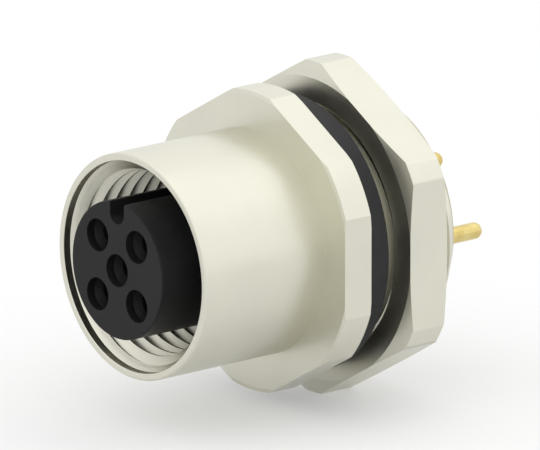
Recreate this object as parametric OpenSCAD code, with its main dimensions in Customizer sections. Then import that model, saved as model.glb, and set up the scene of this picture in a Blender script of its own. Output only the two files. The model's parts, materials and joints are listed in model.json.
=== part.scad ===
/* [Mating sleeve] */
// Nominal diameter of the mating thread
mating_thread_d = 12; // [11:0.1:13.2]
// Pitch of the mating thread
mating_pitch = 1; // [0.8:0.05:1.2]
// Depth of the mating space behind the rim
mating_depth = 9; // [8.5:0.1:9.5]
// Wall of the sleeve outside the mating thread
sleeve_wall = 0.7; // [0.6:0.05:1.2]
// Length of the sleeve in front of the flange
sleeve_len = 8.95; // [8.6:0.05:9.4]
// Step from the mating thread out to the plain mouth
mouth_step = 0.25; // [0.15:0.01:0.3]
// Depth of the plain mouth
mouth_depth = 0.5; // [0.3:0.05:1.5]
// Angle of the conical lead-in behind the mouth to the axis, in degrees
lead_in_angle = 45; // [30:1:60]
// Rounding of the outer edge of the rim
rim_round = 0.14; // [0.05:0.01:0.16]
// Edge break on the inner edge of the rim
rim_break = 0.08; // [0.04:0.01:0.12]
// Fillet between the sleeve and the flange
sleeve_fillet = 0.1; // [0.05:0.05:0.5]

/* [Flange] */
// Width of the flange across its flats
flange_af = 17; // [16:0.1:19]
// Amount that is turned off the flange corners
flange_corner_cut = 0.815; // [0.3:0.005:0.9]
// Thickness of the flange
flange_t = 2; // [1.5:0.1:4]
// Radial width of the chamfer on the flange corners
flange_chamfer_w = 0.22; // [0.1:0.01:0.3]
// Angle of the flange chamfer to its faces, in degrees
flange_chamfer_angle = 15; // [10:1:30]

/* [Panel thread] */
// Outer diameter of the panel thread
panel_thread_d = 15.2; // [14.6:0.1:15.8]
// Pitch of the panel thread
panel_pitch = 1.411; // [1:0.001:1.6]
// Length of the threaded stub behind the flange
stub_len = 7.65; // [7:0.05:14]
// Wall between the root of the panel thread and the rear cavity
stub_wall = 1.13; // [0.9:0.01:1.3]
// Edge break on the end of the stub
stub_break = 0.1; // [0.05:0.05:0.2]

/* [Panel seal] */
// Outer diameter of the panel seal
seal_d = 16.5; // [15.8:0.1:16.9]
// Thickness of the panel seal
seal_t = 1.6; // [1:0.05:1.6]
// Rounding of the outer edges of the panel seal
seal_round = 0.15; // [0.05:0.05:0.3]

/* [Lock nut] */
// Width of the lock nut across its flats
nut_af = 18; // [17:0.1:20]
// Amount that is turned off the nut corners
nut_corner_cut = 0.39; // [0.2:0.01:0.5]
// Thickness of the lock nut
nut_t = 2.8; // [2:0.1:3.2]
// Gap left for the panel between the seal and the nut
panel_gap = 0.93; // [0.5:0.01:1.2]
// Radial width of the chamfer on the nut corners
nut_chamfer_w = 0.95; // [0.5:0.05:1]
// Angle of the nut chamfer to its faces, in degrees
nut_chamfer_angle = 10; // [5:1:30]
// Depth of the countersink at both ends of the nut bore
nut_countersink = 0.45; // [0.2:0.05:0.6]

/* [Contact insert] */
// Diameter of the insert where the plug slides over it
insert_d = 8.2; // [8:0.1:8.6]
// Distance that the insert stands in front of the rim
insert_proud = 1.12; // [0:0.01:2]
// Chamfer on the front edge of the insert
insert_chamfer = 0.08; // [0.05:0.01:0.3]
// Width of the coding groove
key_w = 1.26; // [1:0.02:1.4]
// Depth of the coding groove
key_depth = 1.32; // [0.8:0.02:1.36]
// Diameter of the circle that the outer contacts lie on
pin_circle_d = 5; // [4.8:0.05:5.2]
// Diameter of the recess round each contact hole
recess_d = 1.95; // [1.7:0.05:2]
// Depth of the recess round each contact hole
recess_depth = 0.55; // [0.3:0.05:0.8]
// Diameter of the contact hole
hole_d = 1.4; // [1.2:0.05:1.5]
// Length of the funnel between the recess and the contact hole
funnel_len = 0.45; // [0.2:0.05:0.6]
// Thickness of the insert in front of the contacts
front_wall = 2.1; // [1.6:0.1:2.6]
// Thickness of the insert collar
collar_t = 2; // [1.6:0.1:2.4]
// Width of the lug that keeps the insert from turning
lug_w = 1.6; // [1:0.1:2]
// Height of the lug above the insert
lug_h = 0.7; // [0.4:0.05:0.8]

/* [Contacts] */
// Bore of the contact socket
socket_bore_d = 1; // [0.9:0.01:1.05]
// Depth of the contact socket
socket_depth = 6.5; // [5:0.1:8]
// Lead-in of the contact socket
socket_break = 0.12; // [0.05:0.01:0.15]
// Wall of the contact socket
socket_wall = 0.35; // [0.25:0.01:0.4]
// Length of the slits that split the socket
slit_len = 4.6; // [3:0.1:5]
// Width of the slits that split the socket
slit_w = 0.24; // [0.15:0.01:0.3]
// Height of the contact collar above the socket
contact_collar_h = 0.2; // [0.1:0.01:0.25]
// Thickness of the contact collar
contact_collar_t = 1.2; // [0.8:0.1:1.4]
// Diameter of the solder pin
solder_pin_d = 1; // [0.8:0.05:1.1]
// Step from the solder pin up to the shank in the rear insulator
shank_step = 0.35; // [0.2:0.05:0.4]
// Length of the solder pin behind the insulator
solder_pin_len = 6.78; // [3:0.01:12]

/* [Rear closure] */
// Thickness of the web that the insert collar seats on
web_t = 1.5; // [1:0.1:2]
// Section diameter of the insert seal
o_ring_d = 0.9; // [0.7:0.05:0.95]
// Distance of the retaining ring from the end of the stub
ring_setback = 1.86; // [1.5:0.01:2.5]
// Thickness of the retaining ring
ring_t = 0.6; // [0.4:0.05:0.8]
// Radial width of the retaining ring
ring_w = 1.1; // [0.8:0.05:1.2]
// Depth of the groove for the retaining ring
ring_groove = 0.4; // [0.3:0.05:0.5]
// Gap between the ends of the retaining ring, as an angle
ring_gap = 40; // [20:5:90]
// Room between the retaining ring and the boss of the rear insulator
boss_room = 0.55; // [0.2:0.05:0.8]
// Height of the insulator boss behind the retaining ring
boss_h = 0.88; // [0.3:0.02:1.4]
// Edge break on the boss and on the mouth of the rear cavity
rear_break = 0.25; // [0.1:0.05:0.4]

/* [Hidden] */
$fn = 72;

// Clearances between pieces: pushed into each other, running on each other, and face to face
fit_gap = 0.05;
run_gap = 0.06;
seat_gap = 0.02;
// Overlap that makes a cut pass clean through
over = 1;

// Both threads are drawn as plain walls at their roots. The root of an inner thread is at its
// nominal diameter, and that of the outer thread lies below it by the depth of the teeth.
mating_r = mating_thread_d / 2;
relief_r = mating_r + 0.1 * mating_pitch;
panel_crest_r = panel_thread_d / 2;
panel_root_r = panel_crest_r - 0.475 * panel_pitch;

// Radii of the housing and the nut
sleeve_r = mating_r + sleeve_wall;
mouth_r = mating_r + mouth_step;
flange_turned_r = flange_af / 2 / cos(30) - flange_corner_cut;
nut_turned_r = nut_af / 2 / cos(30) - nut_corner_cut;
cavity_r = panel_root_r - stub_wall;
groove_r = cavity_r + ring_groove;

// Radii of the pieces inside
insert_r = insert_d / 2;
collar_r = cavity_r - fit_gap;
seal_seat_r = cavity_r - o_ring_d - 2 * fit_gap;
lug_r = insert_r + lug_h;
socket_r = socket_bore_d / 2 + socket_wall;
contact_collar_r = socket_r + contact_collar_h;
pin_r = solder_pin_d / 2;
shank_r = pin_r + shank_step;
ring_inner_r = groove_r - fit_gap - ring_w;
boss_r = ring_inner_r - boss_room;

// Stations along the axis, counted rearwards from the seating face of the flange
rim_at = -flange_t - sleeve_len;
insert_face_at = rim_at - insert_proud;
web_front_at = rim_at + mating_depth;
web_rear_at = web_front_at + web_t;
collar_front_at = web_rear_at + seat_gap;
collar_rear_at = collar_front_at + collar_t;
seal_room = o_ring_d + 2 * fit_gap;
insert_rear_at = collar_rear_at + seal_room;
contact_front_at = insert_face_at + front_wall + seat_gap;
contact_collar_at = insert_rear_at - contact_collar_t;
ring_front_at = stub_len - ring_setback;
disc_front_at = insert_rear_at + seat_gap;
disc_rear_at = ring_front_at - seat_gap;
boss_rear_at = ring_front_at + ring_t + boss_h;
pin_end_at = boss_rear_at + solder_pin_len;
nut_front_at = seal_t + panel_gap;

// Contact places as seen from the front, as angles from the right, and those that are loaded
outer_places = [135, 45, -45, -135];
place_1 = 135;
place_3 = -45;
place_4 = -135;

// Turns a shape drawn along Z so that it runs rearwards along Y
module rearwards() {
    rotate([-90, 0, 0]) children();
}

// Moves a shape drawn along Z to one contact place
module at_place(angle) {
    translate([pin_circle_d / 2 * cos(angle), -pin_circle_d / 2 * sin(angle), 0]) children();
}

// Hexagonal bar with its flats left and right
module hex_bar(af, z0, z1) {
    translate([0, 0, z0]) rotate([0, 0, 30]) cylinder(d = af / cos(30), h = z1 - z0, $fn = 6);
}

// Section of a disc whose edge is turned down by a flat cone on both faces
module chamfered_disc_section(r0, r1, chamfer_w, angle, z0, z1) {
    drop = chamfer_w * tan(angle);
    polygon([
        [r0, z0],
        [r1 - chamfer_w, z0],
        [r1, z0 + drop],
        [r1, z1 - drop],
        [r1 - chamfer_w, z1],
        [r0, z1]
    ]);
}

// Section left in the corner between a wall along the second axis and a floor above it
module fillet_section(radius) {
    lap = radius / 5;
    difference() {
        translate([-lap, 0]) square([radius + lap, radius + lap]);
        translate([radius, 0]) circle(r = radius);
    }
}

// Section of the sleeve and the stub, without the bore
module barrel_section() {
    difference() {
        union() {
            translate([0, rim_at]) square([sleeve_r, sleeve_len + flange_t / 2]);
            polygon([
                [0, -flange_t / 2],
                [panel_root_r, -flange_t / 2],
                [panel_root_r, stub_len - stub_break],
                [panel_root_r - stub_break, stub_len],
                [0, stub_len]
            ]);
            translate([sleeve_r, -flange_t - sleeve_fillet]) fillet_section(sleeve_fillet);
        }
        translate([sleeve_r, rim_at + rim_round]) rotate(180) fillet_section(rim_round);
    }
}

// Section of the bore, from the mouth through the web to the rear cavity
module bore_section() {
    lead_at = rim_at + mouth_depth;
    lead_in_len = mouth_step / tan(lead_in_angle);
    groove_rear_at = ring_front_at + ring_t + fit_gap;
    polygon([
        [0, rim_at - over],
        [mouth_r + rim_break + over, rim_at - over],
        [mouth_r, rim_at + rim_break],
        [mouth_r, lead_at],
        [mating_r, lead_at + lead_in_len],
        [mating_r, web_front_at - mating_pitch],
        [relief_r, web_front_at - mating_pitch],
        [relief_r, web_front_at],
        [insert_r + fit_gap, web_front_at],
        [insert_r + fit_gap, web_rear_at],
        [cavity_r, web_rear_at],
        [cavity_r, ring_front_at],
        [groove_r, ring_front_at],
        [groove_r, groove_rear_at],
        [cavity_r, groove_rear_at],
        [cavity_r, stub_len - rear_break],
        [cavity_r + rear_break + over, stub_len + over],
        [0, stub_len + over]
    ]);
}

// Slot in the web for the lug of the insert
module lug_slot() {
    w = lug_w + 2 * fit_gap;
    translate([-w / 2, 0, web_front_at - web_t / 2]) cube([w, lug_r + fit_gap, 2 * web_t]);
}

// Turned body with the sleeve, the flange and the stub in one piece
module housing() {
    color([0.80, 0.79, 0.72]) rearwards() difference() {
        union() {
            rotate_extrude() barrel_section();
            intersection() {
                rotate_extrude() chamfered_disc_section(
                    0, flange_turned_r, flange_chamfer_w, flange_chamfer_angle, -flange_t, 0);
                hex_bar(flange_af, -flange_t - over, over);
            }
        }
        rotate_extrude() bore_section();
        lug_slot();
    }
}

// Flat ring between the flange and the panel
module panel_seal() {
    inner_r = panel_root_r + run_gap;
    outer_r = seal_d / 2;
    color([0.10, 0.10, 0.11]) rearwards() rotate_extrude() {
        translate([inner_r, 0]) square([outer_r - seal_round - inner_r, seal_t]);
        translate([inner_r, seal_round]) square([outer_r - inner_r, seal_t - 2 * seal_round]);
        for (z = [seal_round, seal_t - seal_round])
            translate([outer_r - seal_round, z]) circle(r = seal_round);
    }
}

// Hexagonal nut behind the panel, with a countersink at both ends of its bore
module lock_nut() {
    z0 = nut_front_at;
    z1 = z0 + nut_t;
    bore_r = panel_root_r + run_gap;
    sink_r = panel_crest_r + run_gap;
    color([0.80, 0.79, 0.72]) rearwards() difference() {
        intersection() {
            rotate_extrude() chamfered_disc_section(
                bore_r, nut_turned_r, nut_chamfer_w, nut_chamfer_angle, z0, z1);
            hex_bar(nut_af, z0 - over, z1 + over);
        }
        for (end = [[z0, sink_r, bore_r], [z1 - nut_countersink, bore_r, sink_r]])
            translate([0, 0, end[0]]) cylinder(h = nut_countersink, r1 = end[1], r2 = end[2]);
    }
}

// Stepped hole that one contact sits in
module contact_chamber() {
    funnel_at = insert_face_at + recess_depth;
    chamber_r = socket_r + fit_gap;
    collar_bore_r = contact_collar_r + fit_gap;
    rotate_extrude() polygon([
        [0, insert_face_at - over],
        [recess_d / 2, insert_face_at - over],
        [recess_d / 2, funnel_at],
        [hole_d / 2, funnel_at + funnel_len],
        [hole_d / 2, insert_face_at + front_wall],
        [chamber_r, insert_face_at + front_wall],
        [chamber_r, contact_collar_at - seat_gap],
        [collar_bore_r, contact_collar_at - seat_gap],
        [collar_bore_r, insert_rear_at + over],
        [0, insert_rear_at + over]
    ]);
}

// Groove with a round bottom that the nose of the plug runs in
module coding_groove() {
    r = key_w / 2;
    length = web_front_at - insert_face_at + over;
    translate([0, -insert_r + key_depth - r, insert_face_at - over]) {
        cylinder(r = r, h = length);
        translate([-r, -key_depth, 0]) cube([key_w, key_depth, length]);
    }
}

// Moulded carrier of the contacts, with five stepped holes and the coding groove
module contact_insert() {
    color([0.17, 0.17, 0.18]) rearwards() difference() {
        union() {
            rotate_extrude() polygon([
                [0, insert_face_at],
                [insert_r - insert_chamfer, insert_face_at],
                [insert_r, insert_face_at + insert_chamfer],
                [insert_r, collar_front_at],
                [collar_r, collar_front_at],
                [collar_r, collar_rear_at],
                [seal_seat_r, collar_rear_at],
                [seal_seat_r, insert_rear_at],
                [0, insert_rear_at]
            ]);
            translate([-lug_w / 2, 0, web_front_at])
                cube([lug_w, lug_r, web_t + collar_t / 2]);
        }
        contact_chamber();
        for (angle = outer_places) at_place(angle) contact_chamber();
        coding_groove();
    }
}

// Rubber ring between the insert and the housing
module insert_seal() {
    color([0.08, 0.08, 0.09]) rearwards() translate([0, 0, collar_rear_at + seal_room / 2])
        rotate_extrude() translate([cavity_r - fit_gap - o_ring_d / 2, 0]) circle(d = o_ring_d);
}

// Moulded closure that holds the contacts in from behind
module rear_insulator() {
    color([0.15, 0.15, 0.16]) rearwards() difference() {
        rotate_extrude() polygon([
            [0, disc_front_at],
            [cavity_r - fit_gap, disc_front_at],
            [cavity_r - fit_gap, disc_rear_at],
            [boss_r, disc_rear_at],
            [boss_r, boss_rear_at - rear_break],
            [boss_r - rear_break, boss_rear_at],
            [0, boss_rear_at]
        ]);
        for (angle = [place_1, place_3, place_4])
            at_place(angle) translate([0, 0, disc_front_at - over])
                cylinder(r = shank_r + fit_gap, h = boss_rear_at - disc_front_at + 2 * over);
    }
}

// Open spring ring that snaps into the groove of the rear cavity
module retaining_ring() {
    color([0.62, 0.63, 0.64]) rearwards() translate([0, 0, ring_front_at])
        rotate([0, 0, 90 + ring_gap / 2]) rotate_extrude(angle = 360 - ring_gap)
            translate([ring_inner_r, 0]) square([ring_w, ring_t]);
}

// Turned contact with a split socket in front and a round-ended solder pin behind
module contact(angle) {
    bore_r = socket_bore_d / 2;
    color([0.83, 0.68, 0.33]) rearwards() at_place(angle) difference() {
        union() {
            rotate_extrude() polygon([
                [bore_r + socket_break, contact_front_at],
                [socket_r, contact_front_at],
                [socket_r, contact_collar_at],
                [contact_collar_r, contact_collar_at],
                [contact_collar_r, insert_rear_at],
                [shank_r, insert_rear_at],
                [shank_r, boss_rear_at],
                [pin_r, boss_rear_at],
                [pin_r, pin_end_at - pin_r],
                [0, pin_end_at - pin_r],
                [0, contact_front_at + socket_depth],
                [bore_r, contact_front_at + socket_depth],
                [bore_r, contact_front_at + socket_break]
            ]);
            translate([0, 0, pin_end_at - pin_r]) sphere(r = pin_r);
        }
        translate([-socket_r - over, -slit_w / 2, contact_front_at - over])
            cube([2 * (socket_r + over), slit_w, slit_len + over]);
    }
}

module contact_1() { contact(place_1); }

module contact_3() { contact(place_3); }

module contact_4() { contact(place_4); }

housing();
panel_seal();
lock_nut();
contact_insert();
insert_seal();
rear_insulator();
retaining_ring();
contact_1();
contact_3();
contact_4();
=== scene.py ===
import bpy
import json
from math import cos, hypot, pi, radians, sin, tan
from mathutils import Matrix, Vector


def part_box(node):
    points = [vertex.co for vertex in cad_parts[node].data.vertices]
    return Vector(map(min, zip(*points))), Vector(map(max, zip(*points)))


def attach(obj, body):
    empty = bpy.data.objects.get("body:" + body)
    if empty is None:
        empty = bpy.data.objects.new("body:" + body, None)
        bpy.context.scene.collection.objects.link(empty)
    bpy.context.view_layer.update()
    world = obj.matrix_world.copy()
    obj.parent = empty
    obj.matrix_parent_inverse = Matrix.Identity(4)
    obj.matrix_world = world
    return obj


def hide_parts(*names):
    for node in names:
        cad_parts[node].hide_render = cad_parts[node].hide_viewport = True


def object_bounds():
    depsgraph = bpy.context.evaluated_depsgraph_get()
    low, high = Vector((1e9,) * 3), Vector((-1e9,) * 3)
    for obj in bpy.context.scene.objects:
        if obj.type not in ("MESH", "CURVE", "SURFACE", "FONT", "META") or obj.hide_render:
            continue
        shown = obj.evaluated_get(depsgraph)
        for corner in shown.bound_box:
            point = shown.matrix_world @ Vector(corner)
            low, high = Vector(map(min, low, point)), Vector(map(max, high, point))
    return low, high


mm = 0.001
largeSteps = 240  # faces round the large turned pieces
smallSteps = 72  # faces round contacts, holes and the coding groove
overcut = 1 * mm  # cutters reach this far past what they cut

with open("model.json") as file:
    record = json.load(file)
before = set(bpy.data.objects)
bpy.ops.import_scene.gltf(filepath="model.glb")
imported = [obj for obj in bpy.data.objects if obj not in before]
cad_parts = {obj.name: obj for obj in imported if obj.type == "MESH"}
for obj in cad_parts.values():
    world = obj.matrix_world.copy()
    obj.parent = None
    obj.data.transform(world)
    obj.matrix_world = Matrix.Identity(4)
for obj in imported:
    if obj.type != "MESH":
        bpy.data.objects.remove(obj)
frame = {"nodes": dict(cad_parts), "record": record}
nodes = frame["nodes"]
record = frame["record"]
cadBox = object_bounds()
mounts = {mount["name"]: mount for mount in record["mounts"]}
coupling = record["behaviour"]["couplings"][0]
panelPitch = 2 * pi / coupling["ratio"]  # advance of the nut in one turn
print("frame loaded:", len(nodes), "nodes")


# small helpers for modelling

def clearSelection():
    if bpy.context.mode != "OBJECT":
        bpy.ops.object.mode_set(mode="OBJECT")
    bpy.ops.object.select_all(action="DESELECT")


def pick(piece):
    clearSelection()
    piece.select_set(True)
    bpy.context.view_layer.objects.active = piece


def applyPlace(piece):
    pick(piece)
    bpy.ops.object.transform_apply(location=True, rotation=True, scale=True)


def moveTo(piece, place):
    pick(piece)
    piece.location = place
    applyPlace(piece)


def copyOf(piece):
    pick(piece)
    bpy.ops.object.duplicate()
    return bpy.context.object


def applyModifier(piece, kind, **settings):
    pick(piece)
    bpy.ops.object.modifier_add(type=kind)
    modifier = piece.modifiers[-1]
    for name, value in settings.items():
        setattr(modifier, name, value)
    bpy.ops.object.modifier_apply(modifier=modifier.name)


def combine(piece, other, operation):
    applyModifier(piece, "BOOLEAN", object=other, operation=operation, solver="EXACT")
    bpy.data.objects.remove(other)


def joinTo(piece, other):
    pick(piece)
    other.select_set(True)
    bpy.ops.object.join()


def faceOutwards(piece, weldWithin=0.001 * mm):
    pick(piece)
    bpy.ops.object.mode_set(mode="EDIT")
    bpy.ops.mesh.select_all(action="SELECT")
    bpy.ops.mesh.remove_doubles(threshold=weldWithin)
    bpy.ops.mesh.normals_make_consistent(inside=False)
    bpy.ops.object.mode_set(mode="OBJECT")


def breakEdges(piece, width, segments=2, overAngle=35):
    applyModifier(
        piece, "BEVEL", width=width, segments=segments, limit_method="ANGLE",
        angle_limit=radians(overAngle))


def selectCircle(piece, radius, along, near=0.004 * mm):
    # leaves the edges of one circle round the axis selected in edit mode
    pick(piece)
    bpy.ops.object.mode_set(mode="EDIT")
    bpy.ops.mesh.select_mode(type="EDGE")
    bpy.ops.mesh.select_all(action="DESELECT")
    bpy.ops.object.mode_set(mode="OBJECT")
    points = piece.data.vertices
    for edge in piece.data.edges:
        ends = [points[index].co for index in edge.vertices]
        edge.select = all(
            abs(hypot(end.x, end.z) - radius) < near and abs(end.y - along) < near for end in ends)
    bpy.ops.object.mode_set(mode="EDIT")


def roundCircle(piece, radius, along, rounding, segments=6):
    selectCircle(piece, radius, along)
    bpy.ops.mesh.bevel(offset=rounding, segments=segments, affect="EDGES")
    bpy.ops.object.mode_set(mode="OBJECT")


def finishShading(piece, sharpCircles=(), degrees=30):
    # smooth round the axis, crisp at edges and at the listed (radius, y) circles
    pick(piece)
    bpy.ops.object.shade_smooth_by_angle(angle=radians(degrees))
    for radius, along in sharpCircles:
        selectCircle(piece, radius, along)
        bpy.ops.mesh.mark_sharp()
        bpy.ops.object.mode_set(mode="OBJECT")
    # the modifier passes over faces as small as these, so the piece is enlarged for it
    piece.scale = (1 / mm,) * 3
    applyPlace(piece)
    applyModifier(piece, "WEIGHTED_NORMAL", keep_sharp=True)
    piece.scale = (mm,) * 3
    applyPlace(piece)


def addTurned(outline, steps=largeSteps):
    # an outline of (radius, y) corners is drawn point by point and spun round the axis;
    # a corner's third number rounds it; an outline that starts on the axis stays open there
    clearSelection()
    radius, along = outline[0][:2]
    bpy.ops.mesh.primitive_plane_add(size=mm, location=(radius, along, 0))
    piece = bpy.context.object
    applyPlace(piece)
    bpy.ops.object.mode_set(mode="EDIT")
    bpy.ops.mesh.select_mode(type="VERT")
    bpy.ops.mesh.select_all(action="SELECT")
    bpy.ops.mesh.merge(type="CENTER")
    following = outline[1:] if radius == 0 else outline[1:] + outline[:1]
    for corner in following:
        bpy.ops.mesh.extrude_vertices_move(
            TRANSFORM_OT_translate={"value": (corner[0] - radius, corner[1] - along, 0)})
        radius, along = corner[:2]
    bpy.ops.mesh.select_all(action="SELECT")
    bpy.ops.mesh.spin(steps=steps, angle=2 * pi, center=(0, 0, 0), axis=(0, 1, 0))
    bpy.ops.object.mode_set(mode="OBJECT")
    faceOutwards(piece)
    for corner in outline:
        if len(corner) > 2:
            roundCircle(piece, *corner)
    return piece


def addBar(radius, yStart, yEnd, vertices, endRadius=None):
    # round, conical or hexagonal bar along the connector's axis
    clearSelection()
    bpy.ops.mesh.primitive_cone_add(
        vertices=vertices, radius1=radius, radius2=radius if endRadius is None else endRadius,
        depth=yEnd - yStart, location=(0, (yStart + yEnd) / 2, 0), rotation=(-pi / 2, 0, 0))
    bar = bpy.context.object
    applyPlace(bar)
    return bar


def addBox(low, high):
    clearSelection()
    middle = [(a + b) / 2 for a, b in zip(low, high)]
    bpy.ops.mesh.primitive_cube_add(size=1, location=middle)
    box = bpy.context.object
    box.scale = [b - a for a, b in zip(low, high)]
    applyPlace(box)
    return box


def addHexBar(acrossFlats, low, high):
    return addBar(acrossFlats / 2 / cos(pi / 6), low, high, 6)


def chamferedOutline(innerRadius, outerRadius, width, degrees, low, high):
    # disc whose corners are turned down by a flat cone on both faces
    drop = width * tan(radians(degrees))
    return [
        (innerRadius, low), (outerRadius - width, low), (outerRadius, low + drop),
        (outerRadius, high - drop), (outerRadius - width, high), (innerRadius, high),
    ]


# threads: a tooth section screwed round the axis, both ends closed

def addThread(tooth, turns, yStart):
    # the tooth's foot lies in the wall at footRadius, its crest at crestRadius
    clearSelection()
    middle = (tooth["footRadius"] + tooth["crestRadius"]) / 2
    height = abs(tooth["crestRadius"] - tooth["footRadius"])
    bpy.ops.mesh.primitive_plane_add(size=height, location=(middle, yStart, 0))
    ridge = bpy.context.object
    applyPlace(ridge)
    for vertex in ridge.data.vertices:
        atCrest = abs(vertex.co.x - tooth["crestRadius"]) < height / 2
        width = tooth["crestWidth"] if atCrest else tooth["footWidth"]
        vertex.co.y = yStart + (width / 2 if vertex.co.y > yStart else -width / 2)
    pick(ridge)
    bpy.ops.object.mode_set(mode="EDIT")
    bpy.ops.mesh.select_all(action="SELECT")
    bpy.ops.mesh.delete(type="ONLY_FACE")
    bpy.ops.object.mode_set(mode="OBJECT")
    applyModifier(
        ridge, "SCREW", axis="Y", angle=2 * pi, screw_offset=tooth["pitch"], iterations=turns,
        steps=tooth["steps"], render_steps=tooth["steps"], use_merge_vertices=False)
    faceOutwards(ridge)
    halfway = yStart + tooth["pitch"] * turns / 2
    for isEnd in (lambda along: along < halfway, lambda along: along > halfway):
        pick(ridge)
        bpy.ops.object.mode_set(mode="EDIT")
        bpy.ops.mesh.select_mode(type="VERT")
        bpy.ops.mesh.select_all(action="DESELECT")
        bpy.ops.mesh.select_non_manifold()
        bpy.ops.object.mode_set(mode="OBJECT")
        for vertex in ridge.data.vertices:
            vertex.select = vertex.select and isEnd(vertex.co.y)
        bpy.ops.object.mode_set(mode="EDIT")
        bpy.ops.mesh.edge_face_add()
        bpy.ops.object.mode_set(mode="OBJECT")
    faceOutwards(ridge)
    return ridge


def smoothThread(ridge, degrees=20):
    pick(ridge)
    bpy.ops.object.shade_smooth_by_angle(angle=radians(degrees))


# materials

def newMaterial(name):
    material = bpy.data.materials.new(name)
    material.use_nodes = True
    tree = material.node_tree
    shader = tree.nodes["Principled BSDF"]
    return material, tree, shader


def addNode(tree, kind, **inputs):
    node = tree.nodes.new(kind)
    for name, value in inputs.items():
        node.inputs[name].default_value = value
    return node


def noiseOn(tree, scale, detail):
    place = tree.nodes.new("ShaderNodeTexCoord")
    noise = addNode(tree, "ShaderNodeTexNoise", Scale=scale, Detail=detail)
    tree.links.new(place.outputs["Object"], noise.inputs["Vector"])
    return noise


def rangeNode(tree, fromLow, fromHigh, low, high):
    return addNode(tree, "ShaderNodeMapRange", **{
        "From Min": fromLow, "From Max": fromHigh, "To Min": low, "To Max": high})


def rampFrom(tree, source, span, colors):
    ramp = tree.nodes.new("ShaderNodeValToRGB")
    for stop, position, color in zip(ramp.color_ramp.elements, span, colors):
        stop.position = position
        stop.color = (*color, 1)
    tree.links.new(source.outputs["Fac"], ramp.inputs["Fac"])
    return ramp


def spreadFrom(tree, source, span, values):
    spread = rangeNode(tree, *span, *values)
    tree.links.new(source.outputs["Fac"], spread.inputs["Value"])
    return spread


def bumpFrom(tree, source, distance):
    bump = addNode(tree, "ShaderNodeBump", Distance=distance)
    tree.links.new(source.outputs["Fac"], bump.inputs["Height"])
    return bump


noiseUse = {
    "patchDetail": 4,
    "grainDetail": 3,
    "toneSpan": (0.35, 0.65),  # values of the noise between which the tones pass into each other
    "roughSpan": (0.3, 0.7),  # and between which the roughness rises
}

# each finish has two tones and a range of roughness in soft patches, and a grain of a given depth
finishes = {
    "satinNickel": {
        "tones": ((0.65, 0.638, 0.548), (0.68, 0.668, 0.573)), "metallic": 1, "specular": 0.5,
        "roughness": (0.30, 0.36), "patchScale": 260, "grainScale": 9000, "grain": 0.0005 * mm,
    },
    "matRubber": {
        "tones": ((0.012, 0.012, 0.013), (0.018, 0.018, 0.020)), "metallic": 0, "specular": 0.3,
        "roughness": (0.5, 0.62), "patchScale": 500, "grainScale": 14000, "grain": 0.012 * mm,
    },
    "mouldedPlastic": {
        "tones": ((0.009, 0.009, 0.010), (0.013, 0.013, 0.014)), "metallic": 0, "specular": 0.18,
        "roughness": (0.42, 0.52), "patchScale": 400, "grainScale": 12000, "grain": 0.008 * mm,
    },
    "springSteel": {
        "tones": ((0.42, 0.42, 0.43), (0.50, 0.50, 0.51)), "metallic": 1, "specular": 0.5,
        "roughness": (0.28, 0.40), "patchScale": 700, "grainScale": 9000, "grain": 0.003 * mm,
    },
    "platedGold": {
        "tones": ((0.54, 0.41, 0.13), (0.70, 0.58, 0.25)), "metallic": 1, "specular": 0.5,
        "roughness": (0.16, 0.24), "patchScale": 900, "grainScale": 9000, "grain": 0.0015 * mm,
    },
}


def makeFinish(name):
    finish = finishes[name]
    material, tree, shader = newMaterial(name)
    shader.inputs["Metallic"].default_value = finish["metallic"]
    shader.inputs["Specular IOR Level"].default_value = finish["specular"]
    patches = noiseOn(tree, finish["patchScale"], noiseUse["patchDetail"])
    tones = rampFrom(tree, patches, noiseUse["toneSpan"], finish["tones"])
    tree.links.new(tones.outputs["Color"], shader.inputs["Base Color"])
    roughness = spreadFrom(tree, patches, noiseUse["roughSpan"], finish["roughness"])
    tree.links.new(roughness.outputs["Result"], shader.inputs["Roughness"])
    grain = noiseOn(tree, finish["grainScale"], noiseUse["grainDetail"])
    bump = bumpFrom(tree, grain, finish["grain"])
    tree.links.new(bump.outputs["Normal"], shader.inputs["Normal"])
    return material


materials = {name: makeFinish(name) for name in finishes}
finishOfSlot = {
    "nickel": "satinNickel",
    "seal_rubber": "matRubber",
    "insert_plastic": "mouldedPlastic",
    "spring_steel": "springSteel",
    "gold": "platedGold",
}
slotOfNode = {part["node"]: part["material_slot"] for part in record["subparts"]}


def dress(piece, slot):
    piece.data.materials.clear()
    piece.data.materials.append(materials[finishOfSlot[slot]])


for part, slot in slotOfNode.items():
    dress(nodes[part], slot)
print("materials made:", len(materials))


def addPiece(piece, name, body, slot):
    piece.name = name
    piece.data.name = name
    dress(piece, slot)
    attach(piece, body)


def standFor(piece, name, body, node):
    # a finished piece that takes the place of a CAD node
    addPiece(piece, name, body, slotOfNode[node])
    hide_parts(node)


# housing: turned sleeve and stub, with the flange milled as a hexagon

wallRadius = mounts["mating_thread"]["dims"]["r_mm"] * mm  # root of the mating thread
rim = mounts["mating_thread"]["pos_m"][1]
boreFloor = rim + mounts["mating_thread"]["dims"]["length_mm"] * mm
crestRadius = mounts["panel_hole"]["dims"]["r_mm"] * mm  # crest of the panel thread
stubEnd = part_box("housing")[1].y

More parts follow.
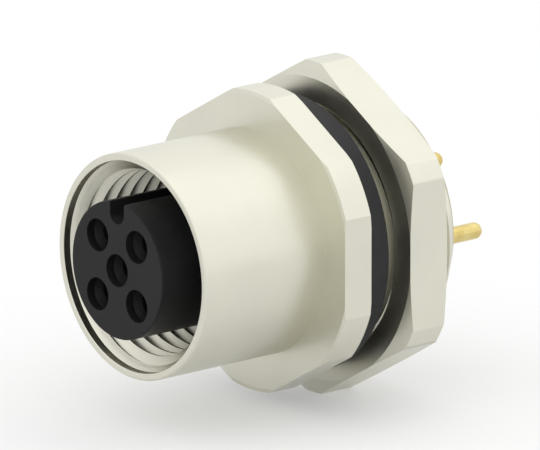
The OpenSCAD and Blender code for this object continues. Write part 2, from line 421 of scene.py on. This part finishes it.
housingShape = {
    "sleeveRadius": 6.7 * mm,
    "rimRound": 0.14 * mm,
    "rimBreak": 0.08 * mm,
    "mouthRadius": 6.25 * mm,
    "mouthDepth": 0.5 * mm,
    "leadInAngle": 45,
    "reliefRadius": 6.1 * mm,
    "reliefLength": 1.0 * mm,
    "webBore": 4.15 * mm,
    "webLength": 1.5 * mm,
    "cavityRadius": 5.8 * mm,
    "grooveRadius": 6.2 * mm,
    "groove": (5.79 * mm, 6.44 * mm),  # front and rear, for the retaining ring
    "rearBreak": 0.25 * mm,
    "stubBreak": 0.1 * mm,
    "flangeThickness": 2 * mm,
    "flangeAcrossFlats": 17 * mm,
    "flangeTurnedRadius": 9 * mm,
    "flangeChamfer": (0.22 * mm, 15),  # width, and angle to the face
    "flangeEdge": 0.03 * mm,
    "lugSlot": (0.85 * mm, 4.85 * mm),  # half width, and height over the axis
}


def makeHousing():
    shape = housingShape
    rootRadius = crestRadius - panelThread["toothHeight"]
    leadIn = rim + shape["mouthDepth"]
    leadInEnd = leadIn + (shape["mouthRadius"] - wallRadius) / tan(radians(shape["leadInAngle"]))
    webRear = boreFloor + shape["webLength"]
    front = -shape["flangeThickness"]
    step = front / 2  # from sleeve to stub, hidden in the flange
    grooveStart, grooveEnd = shape["groove"]
    body = addTurned([
        (shape["sleeveRadius"], rim, shape["rimRound"]),
        (shape["sleeveRadius"], step),
        (rootRadius, step),
        (rootRadius, stubEnd - shape["stubBreak"]),
        (rootRadius - shape["stubBreak"], stubEnd),
        (shape["cavityRadius"] + shape["rearBreak"], stubEnd),
        (shape["cavityRadius"], stubEnd - shape["rearBreak"]),
        (shape["cavityRadius"], grooveEnd),
        (shape["grooveRadius"], grooveEnd),
        (shape["grooveRadius"], grooveStart),
        (shape["cavityRadius"], grooveStart),
        (shape["cavityRadius"], webRear),
        (shape["webBore"], webRear),
        (shape["webBore"], boreFloor),
        (shape["reliefRadius"], boreFloor),
        (shape["reliefRadius"], boreFloor - shape["reliefLength"]),
        (wallRadius, boreFloor - shape["reliefLength"]),
        (wallRadius, leadInEnd),
        (shape["mouthRadius"], leadIn),
        (shape["mouthRadius"], rim, shape["rimBreak"]),
    ])
    buried = (wallRadius + shape["sleeveRadius"]) / 2  # the flange reaches into the wall
    width, degrees = shape["flangeChamfer"]
    flange = addTurned(chamferedOutline(
        buried, shape["flangeTurnedRadius"], width, degrees, front, 0))
    combine(flange, addHexBar(shape["flangeAcrossFlats"], front - overcut, overcut), "INTERSECT")
    faceOutwards(flange)
    breakEdges(flange, shape["flangeEdge"])
    halfWidth, height = shape["lugSlot"]
    slotCutter = addBox(
        (-halfWidth, boreFloor - overcut, 0), (halfWidth, webRear + overcut, height))
    combine(body, slotCutter, "DIFFERENCE")
    combine(body, flange, "UNION")
    faceOutwards(body)
    finishShading(body, [
        (shape["flangeTurnedRadius"] - width, front), (shape["flangeTurnedRadius"] - width, 0)])
    standFor(body, "turnedHousing", "shell", "housing")
    print("housing made")


# thread in the mouth of the sleeve

matingThread = {
    "pitch": 1.0 * mm,
    "toothHeight": 0.53 * mm,
    "crestWidth": 0.13 * mm,
    "rootWidth": 0.12 * mm,
    "sunk": 0.02 * mm,  # the teeth reach this far into the wall
    "steps": 120,
    "firstCrest": 1.25 * mm,  # behind the rim, on the right
    "turns": 7,
}


def makeMatingThread():
    tooth = {
        "footRadius": wallRadius + matingThread["sunk"],
        "crestRadius": wallRadius - matingThread["toothHeight"],
        "crestWidth": matingThread["crestWidth"],
        "footWidth": matingThread["pitch"] - matingThread["rootWidth"],
        "pitch": matingThread["pitch"],
        "steps": matingThread["steps"],
    }
    ridge = addThread(tooth, matingThread["turns"], rim + matingThread["firstCrest"] - tooth["pitch"])
    # the lead-in cone turns the first teeth down
    mouthRadius = housingShape["mouthRadius"]
    leadIn = rim + housingShape["mouthDepth"]
    coneLength = mouthRadius / tan(radians(housingShape["leadInAngle"]))
    cone = addBar(mouthRadius, leadIn, leadIn + coneLength, largeSteps, endRadius=0)
    mouth = addBar(mouthRadius, rim - overcut, leadIn, largeSteps)
    combine(ridge, cone, "DIFFERENCE")
    combine(ridge, mouth, "DIFFERENCE")
    smoothThread(ridge)
    addPiece(ridge, "matingThread", "shell", "nickel")
    print("mating thread made:", matingThread["turns"], "turns")


# thread on the stub behind the flange, and in the nut

panelThread = {
    "toothHeight": 0.67 * mm,
    "crestWidth": 0.12 * mm,
    "footWidth": 1.245 * mm,
    "sunk": 0.02 * mm,  # the teeth reach this far into stub and nut
    "steps": 120,
    "relief": 0.95 * mm,  # plain length behind the seal
    "endChamfer": 0.7 * mm,
    "endInset": 0.02 * mm,  # from the stub's end face to the teeth
    "runGap": 0.06 * mm,  # between the nut's thread and the stub's
}


def makeStubThread():
    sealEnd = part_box("panel_seal")[1].y
    tooth = {
        "footRadius": crestRadius - panelThread["toothHeight"] - panelThread["sunk"],
        "crestRadius": crestRadius,
        "crestWidth": panelThread["crestWidth"],
        "footWidth": panelThread["footWidth"],
        "pitch": panelPitch,
        "steps": panelThread["steps"],
    }
    front = sealEnd + panelThread["relief"]
    start = front - panelPitch
    turns = int((stubEnd + panelPitch - start) / panelPitch) + 1
    ridge = addThread(tooth, turns, start)
    # the teeth begin behind the relief and are chamfered at the stub's end
    chamfer = panelThread["endChamfer"]
    end = stubEnd - panelThread["endInset"]
    keep = addTurned([
        (0, front),
        (crestRadius + overcut, front),
        (crestRadius + overcut, end - chamfer - overcut),
        (crestRadius - chamfer, end),
        (0, end),
    ])
    combine(ridge, keep, "INTERSECT")
    smoothThread(ridge)
    addPiece(ridge, "stubThread", "shell", "nickel")
    print("stub thread made:", turns, "turns")
    return start


# lock nut

nutShape = {
    "acrossFlats": 18 * mm,
    "chamfer": (0.95 * mm, 13.5),  # width, and angle to the face
    "countersink": 0.45 * mm,  # depth at the crests
    "sinkPast": 0.1 * mm,  # the countersinks are cut this far past the crests
    "edgeBreak": 0.04 * mm,
}


def makeNut(stubThreadStart):
    low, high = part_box("lock_nut")
    turnedRadius = high.z
    width, degrees = nutShape["chamfer"]
    rootRadius = crestRadius + panelThread["runGap"]
    boreRadius = rootRadius - panelThread["toothHeight"]
    body = addTurned(chamferedOutline(rootRadius, turnedRadius, width, degrees, low.y, high.y))
    combine(body, addHexBar(nutShape["acrossFlats"], low.y - overcut, high.y + overcut), "INTERSECT")
    faceOutwards(body)
    breakEdges(body, nutShape["edgeBreak"])
    finishShading(body, [(turnedRadius - width, low.y), (turnedRadius - width, high.y)])
    tooth = {
        "footRadius": rootRadius + panelThread["sunk"],
        "crestRadius": boreRadius,
        "crestWidth": panelThread["crestWidth"],
        "footWidth": panelThread["footWidth"],
        "pitch": panelPitch,
        "steps": panelThread["steps"],
    }
    # its teeth lie midway between those of the stub
    start = stubThreadStart - panelPitch / 2
    while start + panelPitch < low.y:
        start += panelPitch
    turns = int((high.y - start) / panelPitch) + 1
    ridge = addThread(tooth, turns, start)
    past = nutShape["sinkPast"]
    sink = nutShape["countersink"] * (1 + past / panelThread["toothHeight"])
    outerRadius = rootRadius + overcut
    keep = addTurned([
        (outerRadius, low.y), (rootRadius, low.y), (boreRadius - past, low.y + sink),
        (boreRadius - past, high.y - sink), (rootRadius, high.y), (outerRadius, high.y)])
    combine(ridge, keep, "INTERSECT")
    smoothThread(ridge)
    joinTo(body, ridge)
    standFor(body, "lockNut", "nut", "lock_nut")
    print("nut made:", turns, "turns of thread")


# flat seal behind the flange

sealShape = {"edgeRound": 0.15 * mm}


def makeSeal():
    low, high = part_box("panel_seal")
    inner = crestRadius - panelThread["toothHeight"] + panelThread["runGap"]
    edge = sealShape["edgeRound"]
    ring = addTurned([
        (inner, low.y), (high.x, low.y, edge), (high.x, high.y, edge), (inner, high.y)])
    finishShading(ring)
    standFor(ring, "panelSeal", "seal", "panel_seal")
    print("seal made")


# contact insert, with five stepped holes and the coding groove

contactCentres = {}
for part in ("contact_1", "contact_3", "contact_4"):
    low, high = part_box(part)
    contactCentres[part] = ((low.x + high.x) / 2, 0, (low.z + high.z) / 2)
placeRadius = abs(contactCentres["contact_1"][0])
holePlaces = [(x * placeRadius, 0, z * placeRadius) for x in (-1, 1) for z in (-1, 1)] + [(0, 0, 0)]

insertShape = {
    "radius": 4.1 * mm,
    "faceRound": 0.08 * mm,
    "collar": (5.75 * mm, -0.43 * mm, 1.57 * mm),  # radius, front and rear
    "sealSeatRadius": 4.8 * mm,
    "lug": (0.8 * mm, 4.8 * mm, 0.55 * mm),  # half width, height and rear end
    "recess": (0.975 * mm, 0.55 * mm),  # radius and depth
    "hole": (0.7 * mm, 0.45 * mm),  # radius, and length of the funnel to it
    "frontWall": 2.1 * mm,
    "chamberRadius": 0.9 * mm,
    "collarBore": (1.1 * mm, 1.35 * mm),  # radius and front
    "groove": (0.63 * mm, 1.32 * mm),  # half width and depth
}


def makeInsert():
    shape = insertShape
    low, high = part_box("contact_insert")
    face, rear = low.y, high.y
    collarRadius, collarFront, collarRear = shape["collar"]
    carrier = addTurned([
        (0, face),
        (shape["radius"], face, shape["faceRound"]),
        (shape["radius"], collarFront),
        (collarRadius, collarFront),
        (collarRadius, collarRear),
        (shape["sealSeatRadius"], collarRear),
        (shape["sealSeatRadius"], rear),
        (0, rear),
    ])
    halfWidth, height, lugEnd = shape["lug"]
    combine(carrier, addBox((-halfWidth, boreFloor, 0), (halfWidth, lugEnd, height)), "UNION")
    recessRadius, recessDepth = shape["recess"]
    holeRadius, funnel = shape["hole"]
    boreRadius, boreFront = shape["collarBore"]
    cutter = addTurned([
        (0, face - overcut),
        (recessRadius, face - overcut),
        (recessRadius, face + recessDepth),
        (holeRadius, face + recessDepth + funnel),
        (holeRadius, face + shape["frontWall"]),
        (shape["chamberRadius"], face + shape["frontWall"]),
        (shape["chamberRadius"], boreFront),
        (boreRadius, boreFront),
        (boreRadius, rear + overcut),
        (0, rear + overcut),
    ], steps=smallSteps)
    for place in holePlaces:
        tool = copyOf(cutter)
        moveTo(tool, place)
        combine(carrier, tool, "DIFFERENCE")
    bpy.data.objects.remove(cutter)
    # the groove has a round bottom and straight sides
    half, depth = shape["groove"]
    roundCentre = shape["radius"] - depth + half
    groove = addBar(half, face - overcut, boreFloor, smallSteps)
    moveTo(groove, (0, 0, roundCentre))
    combine(carrier, groove, "DIFFERENCE")
    sides = addBox((-half, face - overcut, roundCentre), (half, boreFloor, shape["radius"] + half))
    combine(carrier, sides, "DIFFERENCE")
    faceOutwards(carrier)
    finishShading(carrier)
    standFor(carrier, "contactInsert", "shell", "contact_insert")
    print("insert made")


# contacts: slit socket in front, round-ended solder pin behind

contactShape = {
    "socketRadius": 0.85 * mm,
    "boreRadius": 0.5 * mm,
    "boreDepth": 6.5 * mm,
    "boreBreak": 0.12 * mm,
    "collar": (1.05 * mm, 1.37 * mm, 2.57 * mm),  # radius, front and rear
    "shankEnd": 7.27 * mm,
    "shankRound": 0.05 * mm,
    "pinRadius": 0.5 * mm,
    "tipSteps": 8,  # rings of faces on the pin's round end
    "slit": (0.12 * mm, 4.6 * mm),  # half width and length
}


def makeContacts():
    shape = contactShape
    low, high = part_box("contact_1")
    front, end = low.y, high.y
    pin = shape["pinRadius"]
    collarRadius, collarFront, collarRear = shape["collar"]
    tipAngles = [step * pi / 2 / shape["tipSteps"] for step in range(shape["tipSteps"])]
    tip = [(pin * cos(angle), end - pin + pin * sin(angle)) for angle in tipAngles]
    contact = addTurned([
        (0, front + shape["boreDepth"]),
        (shape["boreRadius"], front + shape["boreDepth"]),
        (shape["boreRadius"], front + shape["boreBreak"]),
        (shape["boreRadius"] + shape["boreBreak"], front),
        (shape["socketRadius"], front),
        (shape["socketRadius"], collarFront),
        (collarRadius, collarFront),
        (collarRadius, collarRear),
        (shape["socketRadius"], collarRear),
        (shape["socketRadius"], shape["shankEnd"], shape["shankRound"]),
        (pin, shape["shankEnd"]),
        *tip,
        (0, end),
    ], steps=smallSteps)
    halfSlit, slitLength = shape["slit"]
    across = shape["socketRadius"] + overcut
    slit = addBox((-across, front - overcut, -halfSlit), (across, front + slitLength, halfSlit))
    combine(contact, slit, "DIFFERENCE")
    faceOutwards(contact)
    finishShading(contact)
    for node, centre in contactCentres.items():
        single = copyOf(contact)
        moveTo(single, centre)
        standFor(single, "solderContact" + node[-1], "shell", node)
    bpy.data.objects.remove(contact)
    print("contacts made:", len(contactCentres))


# rear closure: moulded insulator and open retaining ring

rearShape = {
    "bossRadius": 4.5 * mm,
    "bossStart": 5.77 * mm,
    "bossBreak": 0.25 * mm,
    "holeRadius": 0.9 * mm,
    "ringInner": 5.05 * mm,
    "ringHalfGap": 1.9 * mm,
    "ringEdge": 0.04 * mm,
}


def makeRearClosure():
    shape = rearShape
    low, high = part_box("rear_insulator")
    disc = addTurned([
        (0, low.y),
        (high.x, low.y),
        (high.x, shape["bossStart"]),
        (shape["bossRadius"], shape["bossStart"]),
        (shape["bossRadius"], high.y, shape["bossBreak"]),
        (0, high.y),
    ])
    for centre in contactCentres.values():
        hole = addBar(shape["holeRadius"], low.y - overcut, high.y + overcut, smallSteps)
        moveTo(hole, centre)
        combine(disc, hole, "DIFFERENCE")
    faceOutwards(disc)
    finishShading(disc)
    standFor(disc, "rearInsulator", "shell", "rear_insulator")
    low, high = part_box("retaining_ring")
    ring = addTurned([
        (shape["ringInner"], low.y), (high.x, low.y), (high.x, high.y), (shape["ringInner"], high.y)])
    halfGap = shape["ringHalfGap"]
    gap = addBox((-halfGap, low.y - overcut, -high.x - overcut), (halfGap, high.y + overcut, 0))
    combine(ring, gap, "DIFFERENCE")
    faceOutwards(ring)
    breakEdges(ring, shape["ringEdge"])
    finishShading(ring)
    standFor(ring, "retainingRing", "shell", "retaining_ring")
    print("rear closure made")


makeHousing()
makeMatingThread()
makeNut(makeStubThread())
makeSeal()
makeInsert()
makeContacts()
makeRearClosure()


# floor, lights and camera

studio = {
    "floorSize": 1.6,
    "floorColor": 0.54,
    "floorGlow": 0.31,
    "lightFrom": (0.42, 0.38, 0.82),  # brightest side of the surroundings
    "lightStart": -1,  # cosine of the angle to that side at which the light begins to rise
    "worldLow": 0.84,
    "worldHigh": 1.28,
    "fillFrom": (0.0, -0.93, 0.37),  # soft fill in front
    "fillStart": 0.3,
    "fillLevel": 0.24,
}


def makeFloor():
    clearSelection()
    level = cadBox[0][2]
    bpy.ops.mesh.primitive_plane_add(size=studio["floorSize"], location=(0, 0, level))
    floor = bpy.context.object
    applyPlace(floor)
    floor.name = "floor"
    material, tree, shader = newMaterial("paleFloor")
    tree.nodes.remove(shader)
    output = tree.nodes["Material Output"]
    tone = studio["floorColor"]
    matt = addNode(tree, "ShaderNodeBsdfDiffuse", Color=(tone, tone, tone, 1))
    glow = addNode(tree, "ShaderNodeEmission", Color=(1, 1, 1, 1))
    both = tree.nodes.new("ShaderNodeAddShader")
    rays = tree.nodes.new("ShaderNodeLightPath")
    link = tree.links.new
    # only the camera, reflections and views through glass see the glow
    seen = rays.outputs["Is Camera Ray"]
    for kind in ("Is Glossy Ray", "Is Transmission Ray"):
        either = tree.nodes.new("ShaderNodeMath")
        either.operation = "MAXIMUM"
        link(seen, either.inputs[0])
        link(rays.outputs[kind], either.inputs[1])
        seen = either.outputs[0]
    strength = tree.nodes.new("ShaderNodeMath")
    strength.operation = "MULTIPLY"
    strength.inputs[1].default_value = studio["floorGlow"]
    link(seen, strength.inputs[0])
    link(strength.outputs[0], glow.inputs["Strength"])
    link(matt.outputs[0], both.inputs[0])
    link(glow.outputs[0], both.inputs[1])
    link(both.outputs[0], output.inputs["Surface"])
    floor.data.materials.append(material)


lamps = {
    # level is the brightness of the lamp's face
    "topLamp": {"place": (0.06, 0.12, 0.34), "size": (0.45, 0.45), "level": 0.15},
}


def makeLamps():
    for name, lamp in lamps.items():
        data = bpy.data.lights.new(name, "AREA")
        data.shape = "RECTANGLE"
        data.size, data.size_y = lamp["size"]
        data.energy = lamp["level"] * pi * data.size * data.size_y
        light = bpy.data.objects.new(name, data)
        light.location = lamp["place"]
        light.rotation_euler = Vector(lamp["place"]).to_track_quat("Z", "Y").to_euler()
        light.visible_camera = False
        bpy.context.scene.collection.objects.link(light)


def makeWorld():
    # soft surroundings, brightest above and behind on the right
    world = bpy.data.worlds.new("studioWorld")
    world.use_nodes = True
    tree = world.node_tree
    place = tree.nodes.new("ShaderNodeTexCoord")
    total = tree.nodes.new("ShaderNodeMath")
    total.operation = "ADD"
    lobes = (
        (studio["lightFrom"], studio["lightStart"], studio["worldLow"], studio["worldHigh"]),
        (studio["fillFrom"], studio["fillStart"], 0, studio["fillLevel"]),
    )
    for index, (direction, start, low, high) in enumerate(lobes):
        towards = tree.nodes.new("ShaderNodeVectorMath")
        towards.operation = "DOT_PRODUCT"
        towards.inputs[1].default_value = Vector(direction).normalized()
        level = rangeNode(tree, start, 1, low, high)
        level.interpolation_type = "SMOOTHSTEP"
        tree.links.new(place.outputs["Generated"], towards.inputs[0])
        tree.links.new(towards.outputs["Value"], level.inputs["Value"])
        tree.links.new(level.outputs["Result"], total.inputs[index])
    sky = tree.nodes["Background"]
    sky.inputs["Color"].default_value = (1, 1, 1, 1)
    tree.links.new(total.outputs["Value"], sky.inputs["Strength"])
    bpy.context.scene.world = world


view = {
    "azimuth": 50.0,
    "elevation": 15.36,
    "distance": 0.9538,
    "right": 7.976 * mm,  # the camera's offset from the rim's centre, across and up the picture
    "up": 2.447 * mm,
    "lens": 1100,
    "sensor": 36,
}


def makeCamera():
    azimuth = radians(view["azimuth"])
    elevation = radians(view["elevation"])
    level = cos(elevation)
    outward = Vector((sin(azimuth) * level, -cos(azimuth) * level, sin(elevation)))
    right = Vector((cos(azimuth), sin(azimuth), 0))
    up = right.cross(-outward)
    rimCentre = Vector(mounts["mating_thread"]["pos_m"])
    data = bpy.data.cameras.new("camera")
    data.lens = view["lens"]
    data.sensor_width = view["sensor"]
    data.sensor_fit = "HORIZONTAL"
    camera = bpy.data.objects.new("camera", data)
    camera.location = rimCentre + view["distance"] * outward + view["right"] * right + view["up"] * up
    camera.rotation_euler = (pi / 2 - elevation, 0, azimuth)
    bpy.context.scene.collection.objects.link(camera)
    bpy.context.scene.camera = camera


makeFloor()
makeLamps()
makeWorld()
makeCamera()
bpy.context.scene.view_settings.view_transform = "Standard"

print("scene made")
